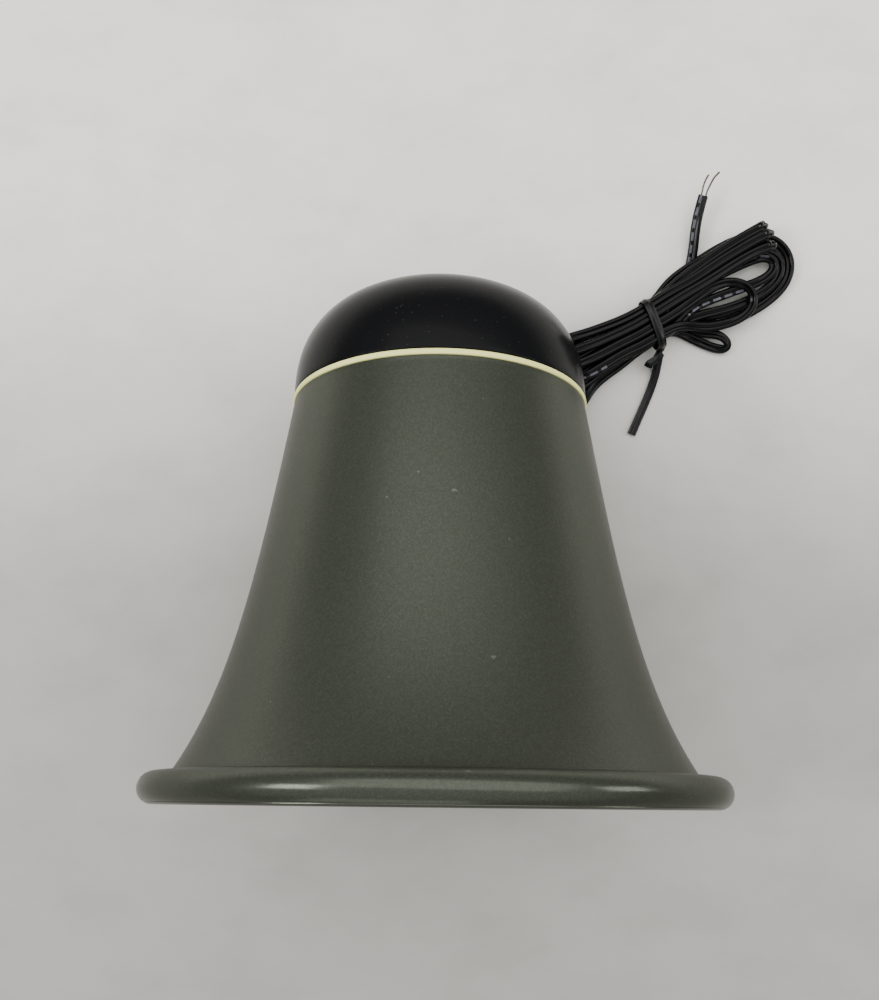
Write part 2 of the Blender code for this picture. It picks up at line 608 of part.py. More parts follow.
# ---- twist tie: a band round the hank, a knot beside it, and a long flat end on the ground
along = (Vector((82.0, 85.5, 0)) - Vector((56.5, 69.8, 0))).normalized()
lean_of_tie = math.degrees(math.atan2(along.y, along.x))
tie_width, tie_thick = 2.6, 0.8
clear = 0.35
half = 7.3 + clear
low, high = HANK_LOW - clear, HANK_HIGH + clear
twist_tie = block("twist_tie", (tie_width, 2 * (half + tie_thick), high - low + 2 * tie_thick), (TIE_AT.x, TIE_AT.y, (low + high) / 2), TIE_PVC, turn=lean_of_tie)
twist_tie.data.materials.clear()
twist_tie.data.materials.append(TIE_PVC)
cut(twist_tie, block("tie_inside", (tie_width * 3, 2 * half, high - low), (TIE_AT.x, TIE_AT.y, (low + high) / 2), home=helpers, turn=lean_of_tie))
across = Vector((along.y, -along.x, 0))
knot_at = TIE_AT + across * (half + tie_thick + 1.2)
join(twist_tie, block("tie_knot", (3.4, 3.4, 3.2), (knot_at.x, knot_at.y, 4.2), home=helpers, turn=lean_of_tie + 20, bevel=0.6))
strip = [Vector((knot_at.x - 0.2, knot_at.y + 0.4, 4.0)), Vector((70.3, 65.2, 2.8)), Vector((68.9, 58.8, 1.0)), Vector((65.9, 49.3, 0.9)), Vector((63.6, 43.0, 0.9)), Vector((62.6, 40.2, 0.9))]
strip = as_mesh(tube("tie_end", [p * MM for p in strip], tie_thick / 2, TIE_PVC, 4.0, sides=1, home=helpers, flat=(tie_width - tie_thick) / 2))
join(twist_tie, strip)

bpy.context.view_layer.update()
for thing in parts.objects:
    if thing.type == "MESH" and thing.name not in ("siren_board",) and not thing.name.endswith(("screw",)):
        thing.data.set_sharp_from_angle(angle=math.radians(35))
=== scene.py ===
"""Looks of the alarm siren: smooth shells, the two-core lead wound into its hank, the twist tie,
and the materials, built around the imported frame."""

import math

import bpy
import numpy as np
from mathutils import Matrix, Vector
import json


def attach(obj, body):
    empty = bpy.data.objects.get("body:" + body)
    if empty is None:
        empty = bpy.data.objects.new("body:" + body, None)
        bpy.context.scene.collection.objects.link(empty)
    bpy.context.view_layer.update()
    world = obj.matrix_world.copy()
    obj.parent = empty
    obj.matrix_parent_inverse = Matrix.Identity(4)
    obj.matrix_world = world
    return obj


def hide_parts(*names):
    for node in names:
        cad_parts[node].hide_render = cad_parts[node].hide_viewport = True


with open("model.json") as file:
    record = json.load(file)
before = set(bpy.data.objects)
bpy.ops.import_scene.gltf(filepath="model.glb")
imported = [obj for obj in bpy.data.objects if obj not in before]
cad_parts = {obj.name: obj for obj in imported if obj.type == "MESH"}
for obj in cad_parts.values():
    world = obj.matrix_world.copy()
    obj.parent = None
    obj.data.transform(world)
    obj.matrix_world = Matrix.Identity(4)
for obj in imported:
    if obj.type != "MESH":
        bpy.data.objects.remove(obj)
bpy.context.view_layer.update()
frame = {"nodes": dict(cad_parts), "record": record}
NODES = frame["nodes"]
BODY = "horn"
MM = 0.001

# ---- the horn's own frame: z is w, from the gasket's mid-plane towards the mouth
TILT = math.radians(16.4834)
ORIGIN = Vector((0.0, 45.3754, 42.6967)) * MM
HORN = Matrix.Translation(ORIGIN) @ Matrix.Rotation(math.pi / 2 - TILT, 4, "X")


# ---------------------------------------------------------------- camera
camera = bpy.data.objects.new("camera", bpy.data.cameras.new("camera"))
bpy.context.scene.collection.objects.link(camera)
right = Vector((0.999935896, 0.0113221818, -0.000114235))
up = Vector((-0.01132276, 0.999885, -0.01008833))
forward = Vector((0.0, -0.01008898, -0.9999491))
turn = Matrix((right, up, -forward)).transposed().to_4x4()
camera.matrix_world = Matrix.Translation(Vector((0.2045, 22.2904, 354.246)) * MM) @ turn
camera.data.sensor_width = 36.0
camera.data.lens = 38.635
camera.data.clip_start = 0.01
bpy.context.scene.camera = camera


# ---------------------------------------------------------------- materials
class Shader:
    """A Principled material built from a few nodes."""

    def __init__(self, name):
        self.material = bpy.data.materials.new(name)
        self.material.use_nodes = True
        self.tree = self.material.node_tree
        self.bsdf = self.tree.nodes["Principled BSDF"]
        self.place = self.tree.nodes.new("ShaderNodeTexCoord").outputs["Object"]

    def set(self, **values):
        for key, value in values.items():
            socket = self.bsdf.inputs[key.replace("_", " ")]
            socket.default_value = (*value, 1) if isinstance(value, tuple) and len(value) == 3 and socket.type == "RGBA" else value
        return self

    def node(self, kind, **settings):
        made = self.tree.nodes.new(kind)
        for key, value in settings.items():
            setattr(made, key, value)
        return made

    def link(self, a, b):
        self.tree.links.new(a, b)

    def noise(self, scale, detail=3.0, rough=0.55, stretch=None):
        made = self.node("ShaderNodeTexNoise")
        made.inputs["Scale"].default_value = scale
        made.inputs["Detail"].default_value = detail
        made.inputs["Roughness"].default_value = rough
        if stretch:
            mapping = self.node("ShaderNodeMapping")
            mapping.inputs["Scale"].default_value = stretch
            self.link(self.place, mapping.inputs["Vector"])
            self.link(mapping.outputs["Vector"], made.inputs["Vector"])
        else:
            self.link(self.place, made.inputs["Vector"])
        return made.outputs["Fac"]

    def cells(self, scale, feature="F1", output="Distance"):
        made = self.node("ShaderNodeTexVoronoi", feature=feature)
        made.inputs["Scale"].default_value = scale
        self.link(self.place, made.inputs["Vector"])
        return made.outputs[output]

    def ramp(self, fac, *stops):
        made = self.node("ShaderNodeValToRGB")
        ramp = made.color_ramp
        while len(ramp.elements) < len(stops):
            ramp.elements.new(0.5)
        for element, (at, colour) in zip(ramp.elements, stops):
            element.position = at
            element.color = (*colour, 1) if isinstance(colour, tuple) else (colour, colour, colour, 1)
        self.link(fac, made.inputs["Fac"])
        return made.outputs["Color"]

    def mix(self, fac, a, b, kind="MIX"):
        made = self.node("ShaderNodeMix", data_type="RGBA", blend_type=kind)
        for value, socket in ((fac, made.inputs[0]), (a, made.inputs[6]), (b, made.inputs[7])):
            if hasattr(value, "links"):
                self.link(value, socket)
            elif isinstance(value, tuple):
                socket.default_value = (*value, 1)
            else:
                socket.default_value = value
        return made.outputs[2]

    def span(self, fac, low, high, to_low, to_high):
        made = self.node("ShaderNodeMapRange")
        for key, value in zip(("From Min", "From Max", "To Min", "To Max"), (low, high, to_low, to_high)):
            made.inputs[key].default_value = value
        self.link(fac, made.inputs["Value"])
        return made.outputs["Result"]

    def colour(self, socket):
        self.link(socket, self.bsdf.inputs["Base Color"])
        return self

    def rough(self, socket):
        self.link(socket, self.bsdf.inputs["Roughness"])
        return self

    def bump(self, height, distance, strength=1.0):
        made = self.node("ShaderNodeBump")
        made.inputs["Strength"].default_value = strength
        made.inputs["Distance"].default_value = distance
        self.link(height, made.inputs["Height"])
        if self.bsdf.inputs["Normal"].links:
            self.link(self.bsdf.inputs["Normal"].links[0].from_socket, made.inputs["Normal"])
        self.link(made.outputs["Normal"], self.bsdf.inputs["Normal"])
        return self


def bell_paint():
    """Satin metallic olive-grey paint: fine flake, the faintest orange peel, a few specks of dust."""
    s = Shader("bell_paint").set(Metallic=0.5, Specular_IOR_Level=0.35, Coat_Weight=0.06, Coat_Roughness=0.14, Coat_IOR=1.45, Specular_Tint=(0.36, 0.36, 0.34))
    flake = s.cells(3400, output="Color")
    grey = s.node("ShaderNodeRGBToBW")
    s.link(flake, grey.inputs["Color"])
    base = s.ramp(grey.outputs["Val"], (0.0, (0.050, 0.0556, 0.0430)), (0.55, (0.058, 0.0645, 0.0503)), (1.0, (0.073, 0.0808, 0.0640)))
    tone = s.ramp(s.noise(14, 2.0), (0.3, 0.93), (0.7, 1.0))
    base = s.mix(1.0, base, tone, "MULTIPLY")
    dust = s.ramp(s.noise(520, 1.0, 0.3), (0.0, 0.0), (0.80, 0.0), (0.83, 1.0))
    s.colour(s.mix(s.span(dust, 0, 1, 0, 0.3), base, (0.25, 0.25, 0.22)))
    # the paint has flowed out smoother on the rolled bead, whose middle is 107 mm along the horn
    along = s.node("ShaderNodeVectorMath", operation="DOT_PRODUCT")
    along.inputs[1].default_value = (0.0, -0.958906, 0.283725)
    s.link(s.place, along.inputs[0])
    rough = s.node("ShaderNodeMath", operation="MULTIPLY")
    s.link(s.span(s.noise(700, 2.0), 0.3, 0.7, 0.31, 0.35), rough.inputs[0])
    s.link(s.span(along.outputs["Value"], 0.0725, 0.0745, 1.0, 0.68), rough.inputs[1])
    s.rough(rough.outputs["Value"])
    s.bump(s.noise(1800, 2.0), 0.00003, 0.16)
    s.bump(s.noise(260, 2.0, 0.4), 0.0001, 0.07)
    return s.material


def cover_black():
    """Gloss black ABS with a few specks of dust and the faintest waviness."""
    s = Shader("cover_black").set(Coat_Weight=0.0, Specular_IOR_Level=0.06)
    dust = s.ramp(s.noise(1500, 0.0, 0.3), (0.0, 0.0), (0.80, 0.0), (0.82, 1.0))
    s.colour(s.mix(s.span(dust, 0, 1, 0, 0.2), (0.0058, 0.0061, 0.0068), (0.10, 0.10, 0.097)))
    s.rough(s.span(s.noise(60, 3.0), 0.3, 0.7, 0.2, 0.26))
    s.bump(s.noise(70, 1.0, 0.3), 0.0002, 0.05)
    return s.material


def gasket_cream():
    s = Shader("gasket_cream").set(Subsurface_Weight=0.04, Subsurface_Radius=(0.6, 0.5, 0.3), Subsurface_Scale=0.002)
    s.colour(s.ramp(s.noise(120, 3.0), (0.3, (0.95, 0.94, 0.34)), (0.7, (0.99, 0.985, 0.40))))
    s.rough(s.span(s.noise(800, 2.0), 0.3, 0.7, 0.5, 0.66))
    s.bump(s.noise(1800, 2.0), 0.00005, 0.3)
    return s.material


def pvc(name, dark, light, rough=0.27, shine=0.5):
    s = Shader(name).set(Specular_IOR_Level=shine)
    s.colour(s.ramp(s.noise(260, 3.0), (0.35, dark), (0.7, light)))
    s.rough(s.span(s.noise(500, 2.0), 0.3, 0.7, rough - 0.05, rough + 0.09))
    s.bump(s.noise(900, 2.0), 0.00005, 0.25)
    return s.material


def plastic(name, dark, light, low=0.42, high=0.56, grain=2200):
    s = Shader(name)
    s.colour(s.ramp(s.noise(90, 3.0), (0.3, dark), (0.7, light)))
    s.rough(s.span(s.noise(400, 2.0), 0.3, 0.7, low, high))
    s.bump(s.noise(grain, 2.0), 0.00005, 0.35)
    return s.material


def metal(name, dark, light, low=0.22, high=0.38, stretch=(60, 60, 1200)):
    s = Shader(name).set(Metallic=1.0)
    s.colour(s.ramp(s.noise(140, 3.0), (0.3, dark), (0.7, light)))
    s.rough(s.span(s.noise(1.0, 3.0, stretch=stretch), 0.3, 0.7, low, high))
    s.bump(s.noise(1.0, 2.0, stretch=stretch), 0.00003, 0.2)
    return s.material


BELL = bell_paint()
COVER = cover_black()
CREAM = gasket_cream()
PVC = pvc("pvc_black", (0.0026, 0.0026, 0.0031), (0.0045, 0.0045, 0.0052), 0.12, 0.15)
MARK = pvc("pvc_marker", (0.060, 0.063, 0.078), (0.115, 0.120, 0.145), 0.38, 0.3)
TIE = pvc("tie_black", (0.0040, 0.0042, 0.0046), (0.0068, 0.0070, 0.0075), 0.26, 0.24)
RED = pvc("pvc_red", (0.36, 0.018, 0.014), (0.48, 0.03, 0.02), 0.33)
# painted shade: this tinned copper colour is darkened well below bright tin, standing in for the shade the bare wire
# ends lie in
COPPER = metal("tinned_copper", (0.07, 0.058, 0.048), (0.16, 0.135, 0.115), 0.3, 0.45)
WIRE = metal("coil_wire", (0.50, 0.17, 0.06), (0.66, 0.27, 0.11))
GREY = plastic("grey_plastic", (0.075, 0.076, 0.072), (0.095, 0.096, 0.09))
RUBBER = plastic("black_rubber", (0.010, 0.010, 0.010), (0.018, 0.018, 0.018), 0.55, 0.75)
ZINC = metal("zinc_plate", (0.42, 0.43, 0.45), (0.60, 0.60, 0.60))
FERRITE = plastic("ferrite", (0.025, 0.025, 0.027), (0.04, 0.04, 0.042), 0.5, 0.7, 1200)
PHENOLIC = plastic("phenolic", (0.13, 0.045, 0.018), (0.19, 0.07, 0.03), 0.4, 0.55)
BOARD = plastic("board_green", (0.012, 0.09, 0.03), (0.02, 0.13, 0.05), 0.3, 0.42)
CHIP = plastic("chip_black", (0.014, 0.014, 0.015), (0.024, 0.024, 0.025))
CAN = plastic("can_blue", (0.012, 0.02, 0.10), (0.02, 0.03, 0.15), 0.28, 0.4)
TAN = plastic("tan_ceramic", (0.42, 0.27, 0.14), (0.52, 0.35, 0.2))
GREEN = plastic("terminal_green", (0.02, 0.22, 0.07), (0.035, 0.30, 0.11))

BY_SLOT = {
    "bell_paint": BELL, "cover_black": COVER, "gasket_cream": CREAM, "pvc_black": PVC, "pvc_red": RED,
    "tie_black": TIE, "copper": COPPER, "grey_plastic": GREY, "black_rubber": RUBBER, "steel_plate": ZINC,
    "ferrite": FERRITE, "phenolic": PHENOLIC, "board_green": BOARD, "chip_black": CHIP, "can_blue": CAN,
    "tan_ceramic": TAN, "terminal_green": GREEN,
}
SLOT_OF = {part["node"]: part["material_slot"] for part in frame["record"]["subparts"]}
for name, thing in NODES.items():
    material = WIRE if name == "voice_coil" else BY_SLOT[SLOT_OF[name]]
    thing.data.materials.clear()
    thing.data.materials.append(material)


# ---------------------------------------------------------------- mesh helpers
def link(name, mesh, *materials):
    thing = bpy.data.objects.new(name, mesh)
    bpy.context.scene.collection.objects.link(thing)
    for material in materials:
        mesh.materials.append(material)
    return thing


def revolve(name, profile, material, steps, closed=True, sharp=40):
    """A turned shell in the horn's frame, from (radius, w) points in mm, running down the outer side."""
    rings = np.array(profile, float) * MM
    angles = np.linspace(0, 2 * math.pi, steps, endpoint=False)
    points, faces, index = [], [], []
    for r, w in rings:
        if r < 1e-9:
            index.append([len(points)] * steps)
            points.append((0, 0, w))
        else:
            index.append(list(range(len(points), len(points) + steps)))
            points += [(r * math.cos(a), r * math.sin(a), w) for a in angles]
    count = len(rings) if closed else len(rings) - 1
    for i in range(count):
        a, b = index[i], index[(i + 1) % len(rings)]
        for k in range(steps):
            n = (k + 1) % steps
            face = [a[k], b[k], b[n], a[n]]
            face = [v for j, v in enumerate(face) if v != face[j - 1]]
            if len(face) > 2:
                faces.append(face)
    mesh = bpy.data.meshes.new(name)
    mesh.from_pydata([tuple(HORN @ Vector(p)) for p in points], [], faces)
    mesh.validate()
    mesh.shade_smooth()
    mesh.set_sharp_from_angle(angle=math.radians(sharp))
    return link(name, mesh, material)


def arc(cx, cy, radius, start, end, count):
    return [
        (cx + radius * math.cos(math.radians(start + (end - start) * i / count)), cy + radius * math.sin(math.radians(start + (end - start) * i / count)))
        for i in range(count + 1)
    ]


# ---------------------------------------------------------------- bell, gasket and cover
LENGTH = 106.94


def bell_radius(w):
    u = LENGTH - w
    return 56.9 - 0.145 * u + 13.8 * math.exp(-u / 24.3)


def bell_inner(w):
    return bell_radius(w) - 1.5 * (1 + 0.12 * math.exp(-(LENGTH - w) / 24.3))


front = LENGTH + 4.0
bell = arc(69.6, front - 0.55, 0.55, 180, 90, 5)
bell += arc(72.0, LENGTH, 4.0, 88, 61, 8) + arc(72.0, LENGTH, 3.82, 59.4, 57.6, 1)
bell += arc(72.0, LENGTH, 4.0, 56, -139.0, 44)
bell += arc(68.35, LENGTH - 3.15, 0.6, 60, 20, 4)[1:-1]
bell += [(bell_radius(w), w) for w in np.linspace(102.6, 1.5, 90)]
bell += arc(bell_radius(1.5) - 0.3, 1.15, 0.3, 0, -90, 4)
bell += [(24.5, 0.85), (24.5, 2.6), (bell_inner(3.4) - 0.9, 2.6)]
bell += arc(bell_inner(3.6) - 0.8, 3.4, 0.8, -80, 0, 4)
bell += [(bell_inner(w), w) for w in np.linspace(5.0, 99.0, 70)]
bell += [(66.1, 103.0), (67.1, 105.2), (68.0, 107.4), (68.7, 109.3), (69.0, 110.2)]
bell_shell = revolve("bell_shell", bell, BELL, 240, sharp=28)
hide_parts("horn_bell")

gasket = [(32.4, 0.78), (41.7, 0.78)] + arc(41.75, 0.0, 0.78, 80, -80, 10) + [(41.7, -0.78), (32.4, -0.78)]
gasket = [(r if r < 41.8 else 41.8 + (r - 41.8) * 0.5, w) for r, w in gasket]
gasket_ring = revolve("gasket_ring", gasket, CREAM, 240)
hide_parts("cap_gasket")


def cover_point(t, radius, depth):
    return (radius * max(math.cos(t), 0.0) ** (2 / 2.96), -1.5 - depth * math.sin(t) ** (2 / 2.43))


def cover_curve(radius, depth, count):
    fine = np.array([cover_point(math.pi / 2 * (1 - (1 - i / 4000) ** 1.8), radius, depth) for i in range(4001)])
    run = np.r_[0, np.cumsum(np.linalg.norm(np.diff(fine, axis=0), axis=1))]
    at = np.linspace(0, run[-1], count + 1)
    out = np.c_[np.interp(at, run, fine[:, 0]), np.interp(at, run, fine[:, 1])]
    out[-1] = (0.0, -1.5 - depth)
    return [tuple(p) for p in out]


shell = cover_curve(39.9, 29.8, 40)[::-1] + [(39.9, -0.88)] + arc(41.5, -1.26, 0.38, 90, 5, 4) + cover_curve(41.9, 31.8, 64)[1:]
cover_shell = revolve("cover_shell", shell, COVER, 240, closed=False, sharp=50)
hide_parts("rear_cover")

# ---------------------------------------------------------------- the lead: one run of two-core flat cord
CORD_WIDTH, LOBE = 3.3, 0.825
TIE_AT = np.array((68.3, 77.0))
AXIS = np.array((0.8516, 0.5241))  # along the bundle where the tie holds it, away from the horn
ACROSS = np.array((-0.5241, 0.8516))


def at(s, p, z):
    return (*(TIE_AT + s * AXIS + p * ACROSS), z)


def through(p, z, way):
    """One pass under the tie; way is 1 going out and -1 coming back."""
    run = [(-7.0, p * 1.05, z), (0.0, p, z), (7.0, p * 1.05, z)]
    return [at(*q) for q in run[::way]]


def fold(p_in, z_in, p_out, z_out, s):
    """The turn under the cover's overhang, from one pass coming back to the next going out."""
    side = 1 if p_out > p_in else -1
    half = max(abs(p_out - p_in) * 0.75, 4.8)
    mid = max(-9.5 + half, min(9.5 - half, (p_in + p_out) * 0.7))
    a, b = mid - side * half, mid + side * half
    za, zb = z_in + 0.2, z_out + 0.2
    zm = (za + zb) / 2
    run = [
        (-13, p_in * 1.15, z_in), (-20, p_in * 1.35, za), (-27, (p_in * 1.5 + a) / 2, za), (s, a, za),
        (s - half * 0.75, mid - side * half * 0.68, zm), (s - half, mid, zm), (s - half * 0.75, mid + side * half * 0.68, zm),
        (s, b, zb), (-27, (p_out * 1.5 + b) / 2, zb), (-20, p_out * 1.35, zb), (-13, p_out * 1.15, z_out),
    ]
    return [at(q, (p if p > 0 else 0.8 * p) - 0.045 * q, z) for q, p, z in run]


LEAD = [
    (29.48, 48.24, 20.32), (32.23, 48.24, 18.31), (35.06, 48.24, 16.25), (37.88, 48.24, 14.19), (40.31, 48.23, 12.42),
    (45.2, 48.5, 9.3), (46.9, 51.6, 7.4), (48.2, 57.0, 5.6), (52.7, 61.1, 4.4), (58.2, 64.6, 3.2), (63.9, 67.6, 2.2),
]
LOOP_A = [(73.7, 89.1, 2.2), (80.3, 94.9, 2.2), (88.3, 100.3, 2.2), (95.3, 104.3, 2.2), (101.6, 106.1, 2.2), (107.4, 105.8, 2.0), (111.7, 103.0, 1.9), (114.1, 98.4, 1.9), (113.6, 93.4, 1.9), (110.7, 88.7, 1.9), (106.0, 84.4, 1.9), (100.2, 81.1, 1.9), (94.0, 78.3, 1.9), (86.9, 76.4, 2.0), (79.6, 74.9, 2.4), (73.3, 72.6, 2.8)]
LOOP_A2 = [(74.2, 87.1, 2.2), (82.1, 93.5, 2.2), (90.1, 98.5, 2.2), (97.2, 102.1, 2.2), (103.4, 103.7, 2.2), (108.6, 103.2, 2.1), (111.9, 100.5, 2.0), (112.5, 96.5, 2.0), (110.9, 92.4, 2.0), (106.9, 88.3, 2.0), (101.0, 84.5, 2.0), (94.4, 81.0, 2.0), (86.8, 78.6, 2.2), (79.6, 76.6, 2.6), (73.2, 74.0, 3.2)]
LOOP_A3 = [(74.7, 84.1, 4.2), (82.6, 90.0, 4.0), (90.6, 95.0, 3.9), (97.6, 98.8, 3.9), (103.8, 100.8, 3.9), (108.6, 100.6, 3.8), (111.4, 98.1, 3.7), (111.4, 94.4, 3.7), (109.2, 91.0, 3.7), (104.8, 87.4, 3.7), (99.2, 84.3, 3.7), (93.5, 82.2, 3.7), (86.4, 80.5, 3.7), (80.1, 78.7, 3.9), (73.9, 76.0, 4.2)]
LOOP_D = [(73.3, 83.7, 6.4), (80.4, 88.1, 6.0), (87.5, 91.8, 5.8), (94.5, 95.1, 5.6), (100.3, 98.1, 5.5), (105.2, 99.6, 5.4), (108.5, 99.2, 5.2), (109.7, 96.5, 5.2), (108.4, 93.7, 5.2), (104.8, 91.4, 5.2), (99.2, 89.2, 5.2), (92.5, 86.8, 5.4), (85.9, 84.2, 5.6), (78.7, 81.0, 6.0), (72.6, 76.7, 6.2)]
LOOP_T1 = [(72.6, 85.6, 5.6), (80.5, 93.0, 5.4), (88.4, 99.0, 5.2), (95.4, 103.6, 5.2), (101.6, 107.4, 5.2), (104.8, 109.1, 5.6), (105.4, 109.3, 8.2), (103.2, 107.8, 10.8), (99.1, 105.7, 10.6), (93.4, 102.2, 9.6), (86.7, 97.5, 8.4), (79.2, 91.6, 7.2), (72.4, 84.2, 6.4)]
LOOP_T2 = [(73.4, 84.3, 5.8), (81.2, 90.9, 6.0), (89.1, 96.5, 6.2), (96.1, 101.2, 6.2), (102.2, 104.8, 6.2), (106.3, 106.8, 6.6), (107.0, 106.9, 9.2), (104.7, 105.4, 11.8), (100.2, 103.1, 11.4), (94.1, 99.4, 10.2), (86.7, 94.4, 8.8), (79.1, 88.4, 7.6), (72.7, 82.3, 7.2)]
LOOP_T3 = [(74.1, 82.3, 7.0), (81.9, 88.8, 7.0), (89.8, 94.2, 6.8), (96.9, 98.5, 6.6), (103.1, 101.5, 6.4), (107.4, 102.7, 6.6), (108.5, 102.8, 8.8), (106.0, 101.6, 11.0), (101.0, 99.7, 10.6), (95.1, 96.6, 9.8), (87.5, 92.2, 9.0), (79.8, 86.9, 8.6), (72.9, 80.8, 8.4)]
LOOP_B = [(74.0, 78.7, 7.4), (79.2, 82.7, 7.6), (84.4, 87.0, 7.6), (90.1, 90.0, 7.6), (95.9, 90.8, 7.4), (100.2, 89.2, 7.2), (102.1, 85.3, 7.0), (101.1, 81.2, 6.6), (97.3, 78.3, 6.0), (91.7, 76.6, 5.6), (85.2, 75.4, 5.2), (79.0, 74.3, 5.2), (72.8, 72.0, 5.4)]
LOOP_C = [(75.2, 73.7, 1.6), (79.0, 73.5, 1.4), (82.3, 72.9, 1.2), (85.3, 71.4, 1.2), (88.7, 69.8, 1.2), (91.9, 68.5, 1.3), (94.5, 68.0, 2.0), (95.9, 69.1, 3.4), (95.0, 71.0, 4.2), (93.6, 72.9, 4.0), (91.4, 74.3, 3.6), (88.4, 74.9, 3.2), (84.4, 75.1, 2.8), (79.9, 74.9, 2.6), (75.0, 74.9, 2.6)]
TAIL = [(73.4, 81.0, 1.8), (78.3, 88.2, 1.8), (81.3, 93.5, 1.8), (82.6, 98.4, 2.2), (82.3, 103.9, 3.2), (82.3, 108.1, 4.2), (83.0, 112.4, 5.0), (83.9, 115.9, 5.5), (84.5, 118.3, 5.8)]

LAYER = (1.75, 3.45, 5.15, 6.85, 8.5)
# (slot going out, loop, slot coming back), in the order the hank was wound
WOUND = [
    ((-5.1, 0), LOOP_C, (-1.7, 0), -30), ((5.1, 0), LOOP_A, (-5.1, 1), -31), ((5.1, 1), LOOP_A2, (-1.7, 1), -33),
    ((1.7, 1), LOOP_T1, (5.1, 2), -30), ((1.7, 2), LOOP_T2, (5.1, 3), -32), ((1.7, 3), LOOP_T3, (1.9, 4), -33),
    ((-1.7, 2), LOOP_A3, (-5.1, 2), -31), ((-1.7, 3), LOOP_D, (-5.1, 3), -33), ((-1.4, 4), LOOP_B, (-4.6, 4), -30),
]


def clear_of_tie(points, most=9.5):
    return [q for q in points if abs((np.array(q[:2]) - TIE_AT) @ AXIS) > most]


ROUTE = clear_of_tie(LEAD)
STARTS = []
for turn_no, ((p_out, l_out), loop, (p_in, l_in), reach) in enumerate(WOUND):
    next_p, next_l = WOUND[turn_no + 1][0] if turn_no + 1 < len(WOUND) else (1.7, 0)
    ROUTE += through(p_out, LAYER[l_out], 1)
    STARTS.append(len(ROUTE))
    ROUTE += clear_of_tie(loop) + through(p_in, LAYER[l_in], -1) + fold(p_in, LAYER[l_in], next_p, LAYER[next_l], reach)
ROUTE += through(1.7, LAYER[0], 1) + clear_of_tie(TAIL)


def smooth_line(points, per=10):
    """Centripetal Catmull-Rom through the points."""
    p = np.asarray(points, float)
    p = np.vstack([2 * p[0] - p[1], p, 2 * p[-1] - p[-2]])
    out = []
    for a, b, c, d in zip(p[:-3], p[1:-2], p[2:-1], p[3:]):
        t = np.r_[0, np.cumsum([max(np.linalg.norm(v), 1e-6) ** 0.5 for v in (b - a, c - b, d - c)])]
        for x in np.linspace(t[1], t[2], per, endpoint=False):
            a1 = ((t[1] - x) * a + (x - t[0]) * b) / (t[1] - t[0])
            a2 = ((t[2] - x) * b + (x - t[1]) * c) / (t[2] - t[1])
            a3 = ((t[3] - x) * c + (x - t[2]) * d) / (t[3] - t[2])
            b1 = ((t[2] - x) * a1 + (x - t[0]) * a2) / (t[2] - t[0])
            b2 = ((t[3] - x) * a2 + (x - t[1]) * a3) / (t[3] - t[1])
            out.append(((t[2] - x) * b1 + (x - t[1]) * b2) / (t[2] - t[1]))
    out.append(p[-2])
    return np.array(out)


def spaced(points, step):
    run = np.r_[0, np.cumsum(np.linalg.norm(np.diff(points, axis=0), axis=1))]
    where = np.linspace(0, run[-1], int(round(run[-1] / step)) + 1)
    return np.c_[tuple(np.interp(where, run, points[:, k]) for k in range(3))]


def settle(route, step=2.0, turns=150, gap=3.4):
    """Lays the route out as a cord: evenly bent, clear of itself, on the table, and inside the tie."""
    goal = spaced(smooth_line(route), step)
    line = goal.copy()
    count = len(line)
    order = np.arange(count)
    apart = np.abs(order[:, None] - order[None]) > 4
    squeeze = np.array((1.0, 1.0, 1.95))
    fixed = np.zeros(count, bool)
    fixed[:6] = True
    fixed[-3:] = True
    for turn in range(turns):
        line[1:-1] += 0.14 * (line[:-2] + line[2:] - 2 * line[1:-1])
        line += 0.10 * (goal - line)
        flat = line * squeeze
        between = flat[:, None] - flat[None]
        distance = np.linalg.norm(between, axis=2)
        close = apart & (distance < gap)
        push = np.where(close, (gap - distance) * 0.3 / np.maximum(distance, 0.05), 0.0)
        line += (between * push[..., None]).sum(1) / squeeze
        line[:, 2] = np.maximum(line[:, 2], 0.9)
        s = (line[:, :2] - TIE_AT) @ AXIS
        p = (line[:, :2] - TIE_AT) @ ACROSS
        held = np.clip(1.4 - np.abs(s) / 6, 0, 1)
        line[:, :2] += (held * (np.clip(p, -6.0, 6.0) - p))[:, None] * ACROSS
        line[:, 2] += held * (np.clip(line[:, 2], 1.7, 8.6) - line[:, 2])
        line[fixed] = goal[fixed]
    for _ in range(3):
        line[1:-1] += 0.25 * (line[:-2] + line[2:] - 2 * line[1:-1])
    return line


LINE = spaced(smooth_line(settle(ROUTE), 6), 0.66)
for _ in range(6):
    LINE[1:-1] += 0.25 * (LINE[:-2] + LINE[2:] - 2 * LINE[1:-1])


def share(loop_no, point):
    """How far along the cord, from 0 to 1, a loop's point lies."""
    run = np.r_[0, np.cumsum(np.linalg.norm(np.diff(np.array(ROUTE), axis=0), axis=1))]
    return run[STARTS[loop_no] + point] / run[-1]


# stretches where the core with the printed dashes has its marked side up
MARKED_UP = [
    (share(7, 2), share(7, 5)), (share(7, 9), share(7, 12)), (share(2, 6), share(2, 10)), (share(3, 16), share(3, 19)),
    (share(8, 14), share(8, 17)), (share(4, 2), share(4, 4)), (share(1, 11), share(1, 13)), (0.94, 1.0),
]


def unit(v):
    return v / np.maximum(np.linalg.norm(v, axis=-1, keepdims=True), 1e-9)


def blur(values, width):
    kernel = np.hanning(2 * width + 3)[1:-1]
    kernel /= kernel.sum()
    padded = np.vstack([values[:1]] * width + [values] + [values[-1:]] * width)
    return np.c_[tuple(np.convolve(padded[:, k], kernel, "valid") for k in range(values.shape[1]))]


